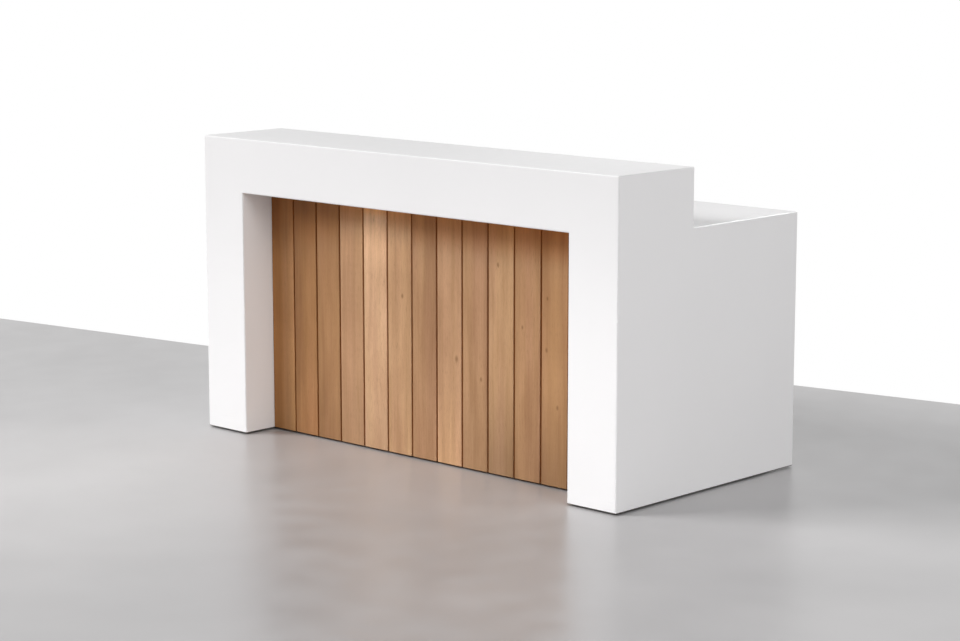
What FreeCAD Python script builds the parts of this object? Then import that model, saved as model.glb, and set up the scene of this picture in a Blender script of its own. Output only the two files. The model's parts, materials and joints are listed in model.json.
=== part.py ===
"""Bar counter: a mitred white shell with a recessed oak front and a fitted staff side.

Millimetres. The origin is on the floor under the middle of the counter, +X runs along its length,
the customers' front faces -Y, the staff side faces +Y, and +Z is up. Left and right are the customers'.
"""
import FreeCAD
import Part
import math
import os

Vector = FreeCAD.Vector

# How near two coordinates are when they are the same
SAME = 1e-3

# Overall form
COUNTER_LENGTH = 2000.0
COUNTER_DEPTH = 960.0
COUNTER_HEIGHT = 1100.0
RISER_HEIGHT = 200.0
BAR_TOP_DEPTH = 385.0
LEG_WIDTH = 210.0
HEADER_HEIGHT = 200.0
RECESS_DEPTH = 140.0
SHELL_FLOOR_GAP = 5.0

# White shell
SHELL_THICKNESS = 20.0
ARRIS_RADIUS = 5.0
WORKTOP_EDGE_HEIGHT = 40.0

# Oak front
BOARD_COUNT = 13
BOARD_THICKNESS = 18.0
BOARD_JOINT = 7.0
BOARD_ARRIS = 1.5
BOARD_END_GAP = 1.0
BOARD_FLOOR_GAP = 8.0
TONGUE_THICKNESS = 6.0
TONGUE_ENGAGEMENT = 6.0
TONGUE_CLEARANCE = 0.3
BATTEN_COUNT = 4
BATTEN_THICKNESS = 25.0
BATTEN_HEIGHT = 50.0

# Carcass
PANEL = 18.0
BAY_COUNT = 3
CUPBOARD_BAY = 0
OPEN_BAY = 1
DRAWER_BAY = 2
CABINET_DEPTH = 530.0
FRONT_SETBACK = 40.0
PLINTH_HEIGHT = 100.0
PLINTH_THICKNESS = 16.0
PLINTH_RECESS = 60.0
BACK_PANEL_THICKNESS = 8.0
HOUSING_DEPTH = 6.0
HOUSING_CLEARANCE = 0.2
SERVICE_NOTCH = 110.0
SERVICE_NOTCH_RADIUS = 25.0

# Ribs inside the shell
LEG_RIB_COUNT = 4
HEADER_RIB_COUNT = 5
RIB_HOLE_MARGIN = 45.0

# Shelves and their pins
SHELF_SIDE_GAP = 1.0
SHELF_SETBACK = 20.0
SHELF_PIN_SIDES = 8
SHELF_PIN_RADIUS = 2.5
SHELF_PIN_HEAD = 8.0
SHELF_PIN_SHANK = 7.0
SHELF_HOLE_DEPTH = 9.0
SHELF_HOLE_CLEARANCE = 0.05
SHELF_HOLE_PITCH = 32.0
SHELF_HOLE_COUNT = 3
SHELF_HOLE_INSET = 60.0

# Door and drawer fronts
FRONT_THICKNESS = 19.0
FRONT_ARRIS = 1.0
FRONT_GAP = 3.0
FINGER_GAP = 22.0
GRIP_BEVEL = 9.0

# Lift-off door hinges
HINGE_COUNT = 2
HINGE_HEIGHT = 60.0
HINGE_INSET = 90.0
HINGE_GAP = 3.4
HINGE_LEAF_THICKNESS = 1.4
HINGE_LEAF_WIDTH = 17.0
KNUCKLE_RADIUS = 4.0
KNUCKLE_CLEARANCE = 0.3
HINGE_PIN_RADIUS = 2.0
HINGE_PIN_LENGTH = 25.0
HINGE_PIN_CLEARANCE = 0.05

# Drawers
DRAWER_NAMES = ("lower", "middle", "upper")
DRAWER_LENGTH = 490.0
DRAWER_BOX_HEIGHT = 150.0
DRAWER_BOX_LIFT = 20.0
DRAWER_SIDE = 12.0
DRAWER_BOTTOM = 6.0
DRAWER_BOTTOM_LIFT = 12.0
DRAWER_GROOVE = 6.0
DRAWER_GROOVE_CLEARANCE = 0.1

# Drawer runners
RUNNER_LENGTH = 450.0
RUNNER_HEIGHT = 44.0
RUNNER_WIDTH = 13.0
RUNNER_GAUGE = 1.4
RUNNER_REACH = 10.0
RUNNER_LIP = 5.0
RUNNER_CLEARANCE = 0.3

# Feet under the front legs
GLIDE_PAD_SIDES = 6
GLIDE_PAD_RADIUS = 22.0
GLIDE_STEM_RADIUS = 5.0
GLIDE_STEM_LENGTH = 40.0
INSERT_RADIUS = 7.5

# Feet under the base panel
FOOT_INSET = 90.0
FOOT_GRIP_SIDES = 12
FOOT_PAD_RADIUS = 30.0
FOOT_PAD_THICKNESS = 8.0
FOOT_COLLAR_RADIUS = 20.0
FOOT_STEM_RADIUS = 12.0
FOOT_STEM_LENGTH = 42.0
SOCKET_PLATE_WIDTH = 70.0
SOCKET_PLATE = 5.0
SOCKET_BARREL_RADIUS = 17.0
SOCKET_BARREL_LENGTH = 50.0
SCREW_CLEARANCE = 0.1

# Planes that several pieces share
x_end = COUNTER_LENGTH / 2
x_inner = x_end - SHELL_THICKNESS
x_opening = x_end - LEG_WIDTH
y_front = -COUNTER_DEPTH / 2
y_back = COUNTER_DEPTH / 2
y_riser = y_front + BAR_TOP_DEPTH
y_boards = y_front + RECESS_DEPTH
y_battens = y_boards + BOARD_THICKNESS
y_bulkhead = y_battens + BATTEN_THICKNESS
y_void = y_bulkhead + PANEL
y_carcass = y_back - FRONT_SETBACK
y_fronts = y_carcass - FRONT_THICKNESS
y_cabinet_back = y_carcass - CABINET_DEPTH
z_shell = SHELL_FLOOR_GAP
z_opening = COUNTER_HEIGHT - HEADER_HEIGHT
z_base = PLINTH_HEIGHT + PANEL
z_worktop = COUNTER_HEIGHT - RISER_HEIGHT
z_deck = z_worktop - SHELL_THICKNESS - PANEL
bay_width = (2 * x_inner - (BAY_COUNT + 1) * PANEL) / BAY_COUNT


def box(x0, x1, y0, y1, z0, z1):
    return Part.makeBox(x1 - x0, y1 - y0, z1 - z0, Vector(x0, y0, z0))


def upright_cylinder(x, y, z0, z1, radius):
    return Part.makeCylinder(radius, z1 - z0, Vector(x, y, z0))


def wire(points):
    return Part.makePolygon([Vector(*point) for point in points + points[:1]])


def extrusion(points, direction):
    return Part.Face(wire(points)).extrude(Vector(*direction))


def polygon(sides, radius, x, y, z):
    """Corners of a regular polygon in the plane of the first two coordinates."""
    turns = [2 * math.pi * corner / sides for corner in range(sides)]
    return [(x + radius * math.cos(turn), y + radius * math.sin(turn), z) for turn in turns]


def polygon_prism(sides, radius, x, y, z0, z1):
    return extrusion(polygon(sides, radius, x, y, z0), (0, 0, z1 - z0))


def tapered_solid(first, second):
    """Solid with flat sides between two outlines that have the same number of corners."""
    faces = [Part.Face(wire(first)), Part.Face(wire(second))]
    for index in range(len(first)):
        corners = [first[index - 1], first[index], second[index], second[index - 1]]
        faces.append(Part.Face(wire(corners)))
    solid = Part.Solid(Part.makeShell(faces))
    if solid.Volume < 0:
        solid.reverse()
    return solid


def mirrored(shape):
    return shape.mirror(Vector(0, 0, 0), Vector(1, 0, 0))


def save(name, solids):
    shape = solids[0] if len(solids) == 1 else Part.Compound(solids)
    shape.exportStep("parts/" + name + ".step")


def on_line(edge, **fixed):
    """True if both ends of an edge have the given coordinates."""
    for vertex in edge.Vertexes:
        for axis, value in fixed.items():
            if abs(getattr(vertex.Point, axis) - value) > SAME:
                return False
    return True


# White shell: panels mitred where they meet, cut from one block with eased arrises

def shell_block():
    side = [
        (-x_end, y_front, z_shell),
        (-x_end, y_back, z_shell),
        (-x_end, y_back, z_worktop),
        (-x_end, y_riser, z_worktop),
        (-x_end, y_riser, COUNTER_HEIGHT),
        (-x_end, y_front, COUNTER_HEIGHT),
    ]
    block = extrusion(side, (COUNTER_LENGTH, 0, 0))
    block = block.cut(box(-x_opening, x_opening, y_front, y_void, z_shell, z_opening))
    lines = [
        {"y": y_front, "z": COUNTER_HEIGHT},
        {"y": y_riser, "z": COUNTER_HEIGHT},
        {"y": y_back, "z": z_worktop},
        {"y": y_front, "z": z_opening},
    ]
    for sign in (-1, 1):
        lines.append({"x": sign * x_end, "y": y_front})
        lines.append({"x": sign * x_end, "y": y_back})
        lines.append({"x": sign * x_end, "y": y_riser})
        lines.append({"x": sign * x_end, "z": COUNTER_HEIGHT})
        lines.append({"x": sign * x_end, "z": z_worktop})
        lines.append({"x": sign * x_opening, "y": y_front})
    edges = [edge for edge in block.Edges if any(on_line(edge, **line) for line in lines)]
    return block.makeFillet(ARRIS_RADIUS, edges)


def mitred_panel(outer, inner, block):
    """Panel between its visible face and the same face moved in by the shell's thickness."""
    return tapered_solid(outer, inner).common(block)


def rectangle(axis, level, first, second):
    """Corners of a rectangle on a plane across one axis, from its ranges along the other two."""
    corners = []
    for a, b in ((0, 0), (1, 0), (1, 1), (0, 1)):
        point = [first[a], second[b]]
        point.insert("xyz".index(axis), level)
        corners.append(tuple(point))
    return corners


def portal(half_length, half_opening, y, z_top, z_soffit):
    return [
        (-half_length, y, z_shell),
        (-half_length, y, z_top),
        (half_length, y, z_top),
        (half_length, y, z_shell),
        (half_opening, y, z_shell),
        (half_opening, y, z_soffit),
        (-half_opening, y, z_soffit),
        (-half_opening, y, z_shell),
    ]


def stepped_side(x, inset):
    return [
        (x, y_front + inset, z_shell),
        (x, y_back, z_shell),
        (x, y_back, z_worktop - inset),
        (x, y_riser - inset, z_worktop - inset),
        (x, y_riser - inset, COUNTER_HEIGHT - inset),
        (x, y_front + inset, COUNTER_HEIGHT - inset),
    ]


def make_shell():
    block = shell_block()
    t = SHELL_THICKNESS
    full = (-x_end, x_end)
    inside = (-x_inner, x_inner)

    fascia = mitred_panel(
        portal(x_end, x_opening, y_front, COUNTER_HEIGHT, z_opening),
        portal(x_inner, x_opening + t, y_front + t, COUNTER_HEIGHT - t, z_opening + t),
        block,
    )
    end_panel = mitred_panel(stepped_side(-x_end, 0), stepped_side(-x_inner, t), block)
    bar_top = mitred_panel(
        rectangle("z", COUNTER_HEIGHT, full, (y_front, y_riser)),
        rectangle("z", COUNTER_HEIGHT - t, inside, (y_front + t, y_riser - t)),
        block,
    )
    riser = mitred_panel(
        rectangle("y", y_riser, full, (z_worktop, COUNTER_HEIGHT)),
        rectangle("y", y_riser - t, inside, (z_worktop - t, COUNTER_HEIGHT - t)),
        block,
    )
    worktop = mitred_panel(
        rectangle("z", z_worktop, full, (y_riser, y_back)),
        rectangle("z", z_worktop - t, inside, (y_riser - t, y_back)),
        block,
    )
    z_strip = z_worktop - WORKTOP_EDGE_HEIGHT
    edge_strip = box(-x_inner, x_inner, y_back - t, y_back, z_strip, z_worktop - t)
    reveal = mitred_panel(
        rectangle("x", -x_opening, (y_front, y_bulkhead), (z_shell, z_opening)),
        rectangle("x", -x_opening - t, (y_front + t, y_bulkhead), (z_shell, z_opening + t)),
        block,
    )
    soffit = mitred_panel(
        rectangle("z", z_opening, (-x_opening, x_opening), (y_front, y_void)),
        rectangle("z", z_opening + t, (-x_opening - t, x_opening + t), (y_front + t, y_void)),
        block,
    )
    save("front_fascia", [fascia])
    save("left_end_panel", [end_panel])
    save("right_end_panel", [mirrored(end_panel)])
    save("bar_top", [bar_top])
    save("riser_panel", [riser])
    save("worktop", [worktop.fuse(edge_strip).removeSplitter()])
    save("left_reveal", [reveal])
    save("right_reveal", [mirrored(reveal)])
    save("header_soffit", [soffit])


# Ribs inside the legs and the header

def make_ribs():
    x_reveal = -x_opening - SHELL_THICKNESS
    spacing = (z_opening - PANEL - z_shell) / (LEG_RIB_COUNT - 1)
    ribs = []
    for index in range(LEG_RIB_COUNT):
        z = z_shell + index * spacing
        rib = box(-x_inner, x_reveal, y_front + SHELL_THICKNESS, y_bulkhead, z, z + PANEL)
        if index == 0:
            x, y = glide_position()
            rib = rib.cut(upright_cylinder(x, y, z, z + PANEL, INSERT_RADIUS))
        ribs.append(rib)
    save("left_leg_ribs", ribs)
    save("right_leg_ribs", [mirrored(rib) for rib in ribs])

    y_fascia = y_front + SHELL_THICKNESS
    y_rear = y_riser - SHELL_THICKNESS
    z_under_top = COUNTER_HEIGHT - SHELL_THICKNESS
    z_on_soffit = z_opening + SHELL_THICKNESS
    z_on_deck = z_worktop - SHELL_THICKNESS
    pitch = 2 * x_opening / HEADER_RIB_COUNT
    header_ribs = []
    for index in range(HEADER_RIB_COUNT):
        x = -x_opening + (index + 0.5) * pitch - PANEL / 2
        outline = [
            (x, y_fascia, z_on_soffit),
            (x, y_fascia, z_under_top),
            (x, y_rear, z_under_top),
            (x, y_rear, z_on_deck),
            (x, y_void, z_on_deck),
            (x, y_void, z_on_soffit),
        ]
        hole = box(
            x,
            x + PANEL,
            y_fascia + RIB_HOLE_MARGIN,
            y_rear - RIB_HOLE_MARGIN,
            z_on_soffit + RIB_HOLE_MARGIN,
            z_under_top - RIB_HOLE_MARGIN,
        )
        header_ribs.append(extrusion(outline, (PANEL, 0, 0)).cut(hole))
    save("header_ribs", header_ribs)


# Oak front: boards with tongues and open joints, battens and the bulkhead behind them

def make_oak_front():
    pitch = (2 * (x_opening - BOARD_END_GAP) + BOARD_JOINT) / BOARD_COUNT
    y_middle = y_boards + BOARD_THICKNESS / 2
    tongue = TONGUE_THICKNESS / 2
    groove = tongue + TONGUE_CLEARANCE
    groove_depth = TONGUE_ENGAGEMENT + TONGUE_CLEARANCE
    for index in range(BOARD_COUNT):
        left = -x_opening + BOARD_END_GAP + index * pitch
        right = left + pitch - BOARD_JOINT
        tip = right + BOARD_JOINT + TONGUE_ENGAGEMENT
        outline = [(left, y_boards + BOARD_ARRIS), (left + BOARD_ARRIS, y_boards)]
        outline += [(right - BOARD_ARRIS, y_boards), (right, y_boards + BOARD_ARRIS)]
        if index < BOARD_COUNT - 1:
            outline += [(right, y_middle - tongue), (tip, y_middle - tongue)]
            outline += [(tip, y_middle + tongue), (right, y_middle + tongue)]
        outline += [(right, y_battens), (left, y_battens)]
        if index > 0:
            outline += [(left, y_middle + groove), (left + groove_depth, y_middle + groove)]
            outline += [(left + groove_depth, y_middle - groove), (left, y_middle - groove)]
        points = [(x, y, BOARD_FLOOR_GAP) for x, y in outline]
        save("oak_board_%02d" % (index + 1), [extrusion(points, (0, 0, z_opening - BOARD_FLOOR_GAP))])

    spacing = (z_opening - BOARD_FLOOR_GAP - BATTEN_HEIGHT) / (BATTEN_COUNT - 1)
    battens = []
    for index in range(BATTEN_COUNT):
        z = BOARD_FLOOR_GAP + index * spacing
        battens.append(box(-x_opening, x_opening, y_battens, y_bulkhead, z, z + BATTEN_HEIGHT))
    save("battens", battens)
    save("bulkhead", [box(-x_inner, x_inner, y_bulkhead, y_void, BOARD_FLOOR_GAP, z_opening)])


# Carcass

def bay_range(bay):
    left = -x_inner + PANEL + bay * (bay_width + PANEL)
    return left, left + bay_width


def back_panel(bay, clearance):
    left, right = bay_range(bay)
    reach = HOUSING_DEPTH - HOUSING_CLEARANCE + clearance
    return box(
        left - reach,
        right + reach,
        y_cabinet_back - BACK_PANEL_THICKNESS - clearance,
        y_cabinet_back + clearance,
        z_base,
        z_deck,
    )


def service_notch(x):
    """Rounded cut at the foot of a divider, where pipes and cables pass along the void."""
    high = z_base + SERVICE_NOTCH
    notch = box(x, x + PANEL, y_void, y_void + SERVICE_NOTCH, z_base, high)
    corner = [edge for edge in notch.Edges if on_line(edge, y=y_void + SERVICE_NOTCH, z=high)]
    return notch.makeFillet(SERVICE_NOTCH_RADIUS, corner)


def shelf_hole_heights():
    middle = (z_base + z_deck) / 2
    first = middle - (SHELF_HOLE_COUNT - 1) / 2 * SHELF_HOLE_PITCH
    return [first + index * SHELF_HOLE_PITCH for index in range(SHELF_HOLE_COUNT)]


def shelf_hole_depths():
    return y_cabinet_back + SHELF_HOLE_INSET, y_carcass - SHELF_HOLE_INSET


def shelf_holes(bay):
    left, right = bay_range(bay)
    radius = SHELF_PIN_RADIUS + SHELF_HOLE_CLEARANCE
    holes = []
    for x, direction in ((left, -1), (right, 1)):
        for y in shelf_hole_depths():
            for z in shelf_hole_heights():
                mouth = Vector(x, y, z)
                holes.append(Part.makeCylinder(radius, SHELF_HOLE_DEPTH, mouth, Vector(direction, 0, 0)))
    return holes


def make_carcass():
    save("base_panel", [box(-x_inner, x_inner, y_void, y_carcass, PLINTH_HEIGHT, z_base)])
    deck_top = z_deck + PANEL
    save("worktop_deck", [box(-x_inner, x_inner, y_void, y_back - SHELL_THICKNESS, z_deck, deck_top)])
    y_plinth = y_carcass - PLINTH_RECESS
    plinth = box(-x_inner, x_inner, y_plinth - PLINTH_THICKNESS, y_plinth, z_shell, PLINTH_HEIGHT)
    save("plinth", [plinth])

    housings = [back_panel(bay, HOUSING_CLEARANCE) for bay in range(BAY_COUNT)]
    holes = shelf_holes(CUPBOARD_BAY) + shelf_holes(OPEN_BAY)
    names = ("left_gable", "left_divider", "right_divider", "right_gable")
    for index, name in enumerate(names):
        x = -x_inner + index * (bay_width + PANEL)
        upright = box(x, x + PANEL, y_void, y_carcass, z_base, z_deck)
        cuts = housings + holes
        if 0 < index < BAY_COUNT:
            cuts = cuts + [service_notch(x)]
        save(name, [upright.cut(cuts)])
    save("back_panels", [back_panel(bay, 0) for bay in range(BAY_COUNT)])


def make_shelves():
    z_pin = (z_base + z_deck) / 2
    z_shelf = z_pin + SHELF_PIN_RADIUS
    pins = []
    for name, bay in (("cupboard_shelf", CUPBOARD_BAY), ("open_bay_shelf", OPEN_BAY)):
        left, right = bay_range(bay)
        shelf = box(
            left + SHELF_SIDE_GAP,
            right - SHELF_SIDE_GAP,
            y_cabinet_back,
            y_fronts - SHELF_SETBACK,
            z_shelf,
            z_shelf + PANEL,
        )
        save(name, [shelf])
        for x, direction in ((left, 1), (right, -1)):
            for y in shelf_hole_depths():
                x_shank = x - direction * SHELF_PIN_SHANK
                x_head = x + direction * SHELF_PIN_HEAD
                section = polygon(SHELF_PIN_SIDES, SHELF_PIN_RADIUS, y, z_pin, x_shank)
                corners = [(end, across, up) for across, up, end in section]
                pins.append(extrusion(corners, (x_head - x_shank, 0, 0)))
    save("shelf_pins", pins)


# Cupboard doors on lift-off hinges

def front_panel(x0, x1, z0, z1):
    """Inset front with eased arrises, and a bevel behind its top edge for the fingers."""
    panel = box(x0, x1, y_fronts, y_carcass, z0, z1)
    rim = [edge for edge in panel.Edges if on_line(edge, y=y_carcass)]
    panel = panel.makeChamfer(FRONT_ARRIS, rim)
    bevel = [(x0, y_fronts, z1 - GRIP_BEVEL), (x0, y_fronts, z1), (x0, y_fronts + GRIP_BEVEL, z1)]
    return panel.cut(extrusion(bevel, (x1 - x0, 0, 0)))


def hinge_leaf(x0, x1, z_plain, z_knuckle):
    """Leaf in the gap beside a door, with the range of heights where it runs out to the knuckle."""
    y_axis = hinge_axis_y()
    y_leaf = y_carcass - HINGE_LEAF_WIDTH
    y_plain = y_axis - KNUCKLE_RADIUS - KNUCKLE_CLEARANCE - HINGE_PIN_CLEARANCE
    plain = box(x0, x1, y_leaf, y_plain, z_plain[0], z_plain[1])
    return plain.fuse(box(x0, x1, y_leaf, y_axis, z_knuckle[0], z_knuckle[1]))


def hinge_axis_y():
    return y_carcass + KNUCKLE_RADIUS + KNUCKLE_CLEARANCE


def frame_leaf(x_face, side, z):
    """Lower half of a hinge, on the upright, with the pin that the door drops on to."""
    x_axis = x_face + side * HINGE_GAP / 2
    y_axis = hinge_axis_y()
    x0, x1 = sorted((x_face, x_face + side * HINGE_LEAF_THICKNESS))
    low = z - HINGE_HEIGHT / 2
    high = z + HINGE_HEIGHT / 2
    leaf = hinge_leaf(x0, x1, (z, high), (low, z))
    knuckle = upright_cylinder(x_axis, y_axis, low, z, KNUCKLE_RADIUS)
    pin = upright_cylinder(x_axis, y_axis, low, z + HINGE_PIN_LENGTH, HINGE_PIN_RADIUS)
    return leaf.fuse([knuckle, pin]).removeSplitter()


def door_leaf(x_face, side, z):
    """Upper half of a hinge, on the door's edge, with the knuckle that turns on the pin."""
    x_axis = x_face + side * HINGE_GAP / 2
    y_axis = hinge_axis_y()
    x_edge = x_face + side * HINGE_GAP
    x0, x1 = sorted((x_edge, x_edge - side * HINGE_LEAF_THICKNESS))
    low = z - HINGE_HEIGHT / 2
    high = z + HINGE_HEIGHT / 2
    leaf = hinge_leaf(x0, x1, (low, z), (z, high))
    knuckle = upright_cylinder(x_axis, y_axis, z, high, KNUCKLE_RADIUS)
    bore = upright_cylinder(x_axis, y_axis, z, high, HINGE_PIN_RADIUS + HINGE_PIN_CLEARANCE)
    return leaf.fuse(knuckle).removeSplitter().cut(bore)


def make_doors():
    left, right = bay_range(CUPBOARD_BAY)
    width = (bay_width - 2 * HINGE_GAP - FRONT_GAP) / 2
    z0 = z_base + FRONT_GAP
    z1 = z_deck - FINGER_GAP
    spacing = (z1 - z0 - 2 * HINGE_INSET) / (HINGE_COUNT - 1)
    heights = [z0 + HINGE_INSET + index * spacing for index in range(HINGE_COUNT)]
    frame_leaves = []
    for name, x_face, side in (("left_door", left, 1), ("right_door", right, -1)):
        x_hinge = x_face + side * HINGE_GAP
        x0, x1 = sorted((x_hinge, x_hinge + side * width))
        save(name, [front_panel(x0, x1, z0, z1)])
        save(name + "_hinge_leaves", [door_leaf(x_face, side, z) for z in heights])
        frame_leaves += [frame_leaf(x_face, side, z) for z in heights]
    save("hinge_frame_leaves", frame_leaves)


# Drawers on two-part runners

def runner_member(profile, x_face, side, z, y_end):
    """Runner rolled to a profile of (distance from the carcass, height) points."""
    points = [(x_face + side * u, y_end - RUNNER_LENGTH, z + v) for u, v in profile]
    return extrusion(points, (0, RUNNER_LENGTH, 0))


def carcass_member(x_face, side, z, y_end):
    half = RUNNER_HEIGHT / 2
    flange = half - RUNNER_GAUGE
    lip = half - RUNNER_LIP
    inner = RUNNER_REACH - RUNNER_GAUGE
    profile = [
        (0, -half),
        (RUNNER_REACH, -half),
        (RUNNER_REACH, -lip),
        (inner, -lip),
        (inner, -flange),
        (RUNNER_GAUGE, -flange),
        (RUNNER_GAUGE, flange),
        (inner, flange),
        (inner, lip),
        (RUNNER_REACH, lip),
        (RUNNER_REACH, half),
        (0, half),
    ]
    return runner_member(profile, x_face, side, z, y_end)


def drawer_member(x_face, side, z, y_end):
    half = RUNNER_HEIGHT / 2 - RUNNER_LIP - RUNNER_CLEARANCE
    flange = half - RUNNER_GAUGE
    near = 2 * RUNNER_GAUGE
    web = RUNNER_WIDTH - RUNNER_GAUGE
    profile = [
        (RUNNER_WIDTH, -half),
        (near, -half),
        (near, -flange),
        (web, -flange),
        (web, flange),
        (near, flange),
        (near, half),
        (RUNNER_WIDTH, half),
    ]
    return runner_member(profile, x_face, side, z, y_end)


def drawer_box(left, right, z0):
    """Sides, back, inner front and bottom of a drawer, the bottom held in grooves all round."""
    z1 = z0 + DRAWER_BOX_HEIGHT
    y0 = y_fronts - DRAWER_LENGTH
    t = DRAWER_SIDE
    walls = [
        box(left, left + t, y0, y_fronts, z0, z1),
        box(right - t, right, y0, y_fronts, z0, z1),
        box(left + t, right - t, y0, y0 + t, z0, z1),
        box(left + t, right - t, y_fronts - t, y_fronts, z0, z1),
    ]
    reach = t - DRAWER_GROOVE
    z_bottom = z0 + DRAWER_BOTTOM_LIFT
    z_floor = z_bottom + DRAWER_BOTTOM
    groove = box(left + reach, right - reach, y0 + reach, y_fronts - reach, z_bottom, z_floor)
    edge = reach + DRAWER_GROOVE_CLEARANCE
    bottom = box(left + edge, right - edge, y0 + edge, y_fronts - edge, z_bottom, z_floor)
    return [wall.cut(groove) for wall in walls] + [bottom]


def make_drawers():
    left, right = bay_range(DRAWER_BAY)
    z_low = z_base + FRONT_GAP
    pitch = (z_deck - z_low) / len(DRAWER_NAMES)
    carcass_members = []
    for index, name in enumerate(DRAWER_NAMES):
        z0 = z_low + index * pitch
        front = front_panel(left + FRONT_GAP, right - FRONT_GAP, z0, z0 + pitch - FINGER_GAP)
        save(name + "_drawer_front", [front])
        z_box = z0 + DRAWER_BOX_LIFT
        save(name + "_drawer_box", drawer_box(left + RUNNER_WIDTH, right - RUNNER_WIDTH, z_box))
        z_runner = z_box + DRAWER_BOX_HEIGHT / 2
        moving = []
        for x_face, side in ((left, 1), (right, -1)):
            moving.append(drawer_member(x_face, side, z_runner, y_fronts))
            carcass_members.append(carcass_member(x_face, side, z_runner, y_fronts))
        save(name + "_drawer_runners", moving)
    save("carcass_runners", carcass_members)


# Screw feet and their sockets

def glide_position():
    x = -(x_inner + x_opening + SHELL_THICKNESS) / 2
    y = (y_front + SHELL_THICKNESS + y_bulkhead) / 2
    return x, y


def glide(x, y):
    """Six-sided pad that fills the gap under the shell, with its screw."""
    pad = polygon_prism(GLIDE_PAD_SIDES, GLIDE_PAD_RADIUS, x, y, 0, z_shell)
    return pad.fuse(upright_cylinder(x, y, z_shell, z_shell + GLIDE_STEM_LENGTH, GLIDE_STEM_RADIUS))


def threaded_insert(x, y):
    z_top = z_shell + PANEL
    bore = upright_cylinder(x, y, z_shell, z_top, GLIDE_STEM_RADIUS + SCREW_CLEARANCE)
    return upright_cylinder(x, y, z_shell, z_top, INSERT_RADIUS).cut(bore)


def socket_range():
    """Heights of a foot socket's lower end and of the underside of its plate."""
    z_plate = PLINTH_HEIGHT - SOCKET_PLATE
    return z_plate - SOCKET_BARREL_LENGTH, z_plate


def cabinet_foot(x, y):
    """Foot with a many-sided pad and grip, stopped by its collar under the socket."""
    z_collar = socket_range()[0]
    z_skirt = FOOT_PAD_THICKNESS + FOOT_PAD_RADIUS - FOOT_COLLAR_RADIUS
    pad = polygon_prism(FOOT_GRIP_SIDES, FOOT_PAD_RADIUS, x, y, 0, FOOT_PAD_THICKNESS)
    low = polygon(FOOT_GRIP_SIDES, FOOT_PAD_RADIUS, x, y, FOOT_PAD_THICKNESS)
    high = polygon(FOOT_GRIP_SIDES, FOOT_COLLAR_RADIUS, x, y, z_skirt)
    skirt = tapered_solid(low, high)
    collar = polygon_prism(FOOT_GRIP_SIDES, FOOT_COLLAR_RADIUS, x, y, z_skirt, z_collar)
    stem = upright_cylinder(x, y, z_collar, z_collar + FOOT_STEM_LENGTH, FOOT_STEM_RADIUS)
    return pad.fuse([skirt, collar, stem]).removeSplitter()


def foot_socket(x, y):
    z_low, z_plate = socket_range()
    half = SOCKET_PLATE_WIDTH / 2
    plate = box(x - half, x + half, y - half, y + half, z_plate, PLINTH_HEIGHT)
    barrel = polygon_prism(FOOT_GRIP_SIDES, SOCKET_BARREL_RADIUS, x, y, z_low, z_plate)
    bore = upright_cylinder(x, y, z_low, PLINTH_HEIGHT, FOOT_STEM_RADIUS + SCREW_CLEARANCE)
    return plate.fuse(barrel).cut(bore)


def make_feet():
    x, y = glide_position()
    save("left_glide", [glide(x, y)])
    save("right_glide", [glide(-x, y)])
    sockets = [threaded_insert(x, y), threaded_insert(-x, y)]

    x_outer = x_inner - FOOT_INSET
    y_rear = y_carcass - PLINTH_RECESS - PLINTH_THICKNESS - FOOT_INSET / 2
    y_fore = y_void + FOOT_INSET / 2
    places = {
        "front_centre_foot": (0, y_fore),
        "rear_left_foot": (-x_outer, y_rear),
        "rear_centre_foot": (0, y_rear),
        "rear_right_foot": (x_outer, y_rear),
    }
    for name, (foot_x, foot_y) in places.items():
        save(name, [cabinet_foot(foot_x, foot_y)])
        sockets.append(foot_socket(foot_x, foot_y))
    save("foot_sockets", sockets)


os.makedirs("parts", exist_ok=True)
make_shell()
make_ribs()
make_oak_front()
make_carcass()
make_shelves()
make_doors()
make_drawers()
make_feet()
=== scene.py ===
"""Looks of the bar counter: finishes, small fittings, floor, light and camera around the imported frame."""

import json
import math
import random

import bmesh
import bpy
from mathutils import Matrix, Vector


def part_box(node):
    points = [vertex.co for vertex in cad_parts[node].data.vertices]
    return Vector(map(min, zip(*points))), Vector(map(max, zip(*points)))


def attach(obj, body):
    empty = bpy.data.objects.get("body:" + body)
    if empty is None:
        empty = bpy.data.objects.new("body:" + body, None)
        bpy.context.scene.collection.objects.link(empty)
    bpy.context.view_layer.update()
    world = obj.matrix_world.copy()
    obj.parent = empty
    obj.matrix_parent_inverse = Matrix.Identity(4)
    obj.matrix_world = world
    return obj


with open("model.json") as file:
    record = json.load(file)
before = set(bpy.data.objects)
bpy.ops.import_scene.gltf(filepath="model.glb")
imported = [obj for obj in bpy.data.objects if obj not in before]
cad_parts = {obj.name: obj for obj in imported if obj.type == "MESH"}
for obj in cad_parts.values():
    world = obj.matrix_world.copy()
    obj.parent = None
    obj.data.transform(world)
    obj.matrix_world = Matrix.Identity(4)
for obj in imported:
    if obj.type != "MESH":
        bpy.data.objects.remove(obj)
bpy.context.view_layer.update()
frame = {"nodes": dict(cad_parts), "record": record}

MM = 0.001

# The camera stands where the photograph was taken from, about two metres above the floor.
CAMERA_PLACE = (5.9623, -6.4059, 1.9623)
CAMERA_YAW = 0.75377
CAMERA_PITCH = 0.16982
CAMERA_LENS = 92.34
SENSOR_WIDTH = 36.0

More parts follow.
